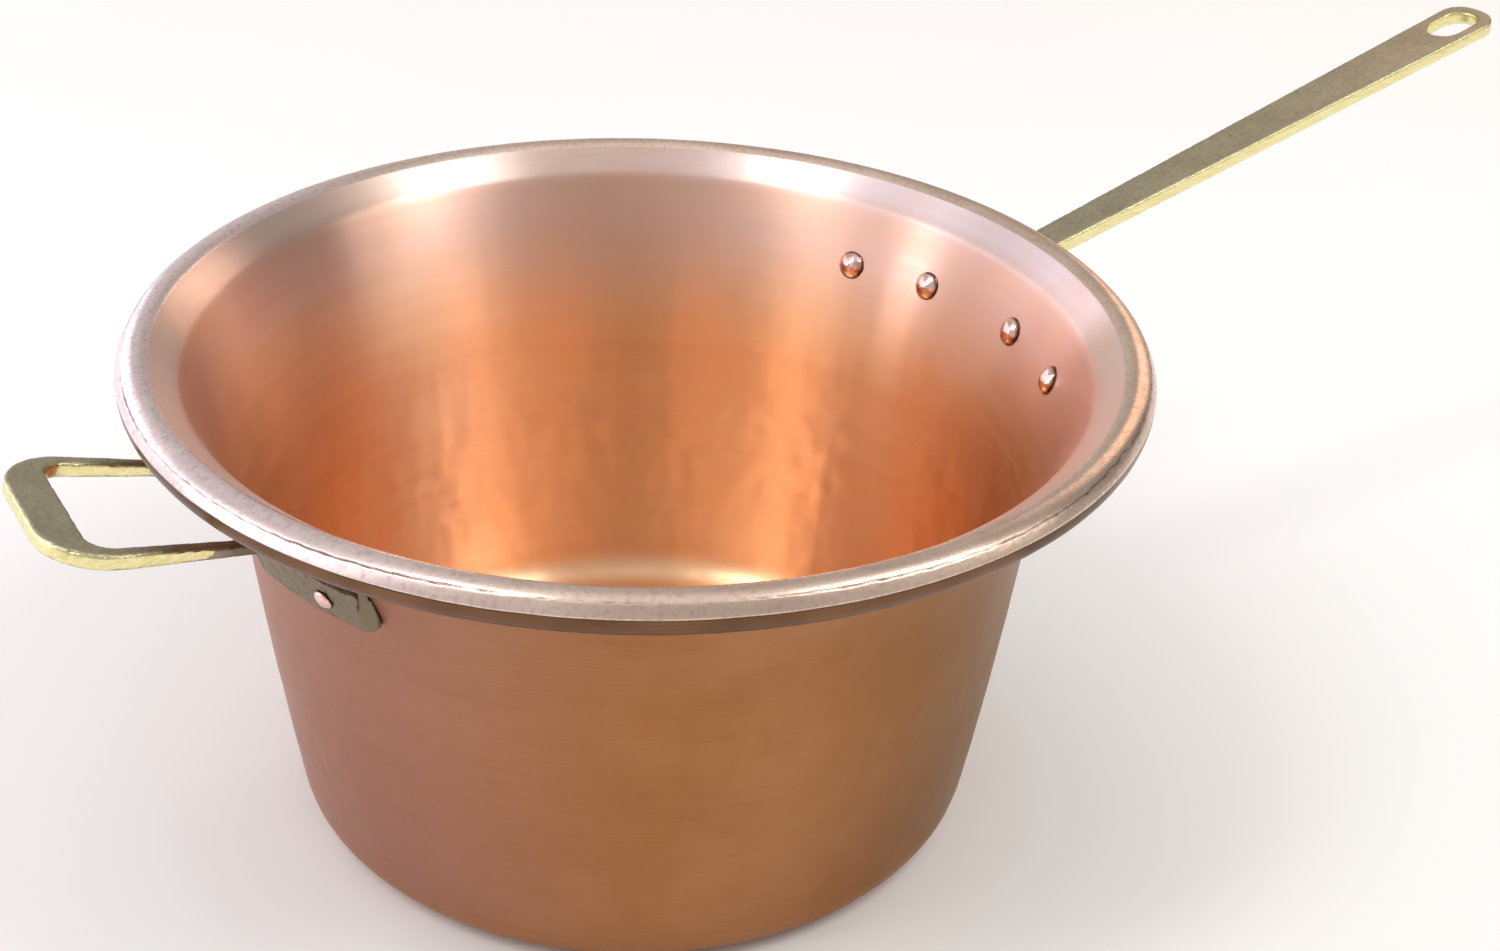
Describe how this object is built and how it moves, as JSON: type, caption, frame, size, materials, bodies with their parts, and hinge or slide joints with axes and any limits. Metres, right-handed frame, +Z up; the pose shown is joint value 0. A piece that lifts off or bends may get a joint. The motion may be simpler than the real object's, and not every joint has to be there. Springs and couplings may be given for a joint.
{
  "type": "copper saucepan",
  "caption": "deep round copper pan with tapered wall, flared lip and rolled bead over a wire, a riveted brass long handle with a hanging eye and a small brass loop grip opposite",
  "frame": {"origin": "centre of the base's underside, on the pan's axis", "axes": "+Z up out of the pan's mouth, +X along the long handle, +Y completes the right-handed frame"},
  "size_m": [0.5548, 0.3, 0.1894],
  "materials": {
    "copper": "satin spun and hand-finished copper",
    "iron_wire": "plain drawn iron wire, hidden in the bead",
    "cast_brass": "sand-cast brass, dull faces with ground bright edges",
    "rivet_copper": "polished domed copper rivet"
  },
  "bodies": {
    "root": {"pan_body": "copper", "rim_wire": "iron_wire", "long_handle": "cast_brass", "loop_handle": "cast_brass", "handle_rivet_1": "rivet_copper", "handle_rivet_2": "rivet_copper", "handle_rivet_3": "rivet_copper", "handle_rivet_4": "rivet_copper", "loop_rivet_1": "rivet_copper", "loop_rivet_2": "rivet_copper"}
  },
  "joints": []
}
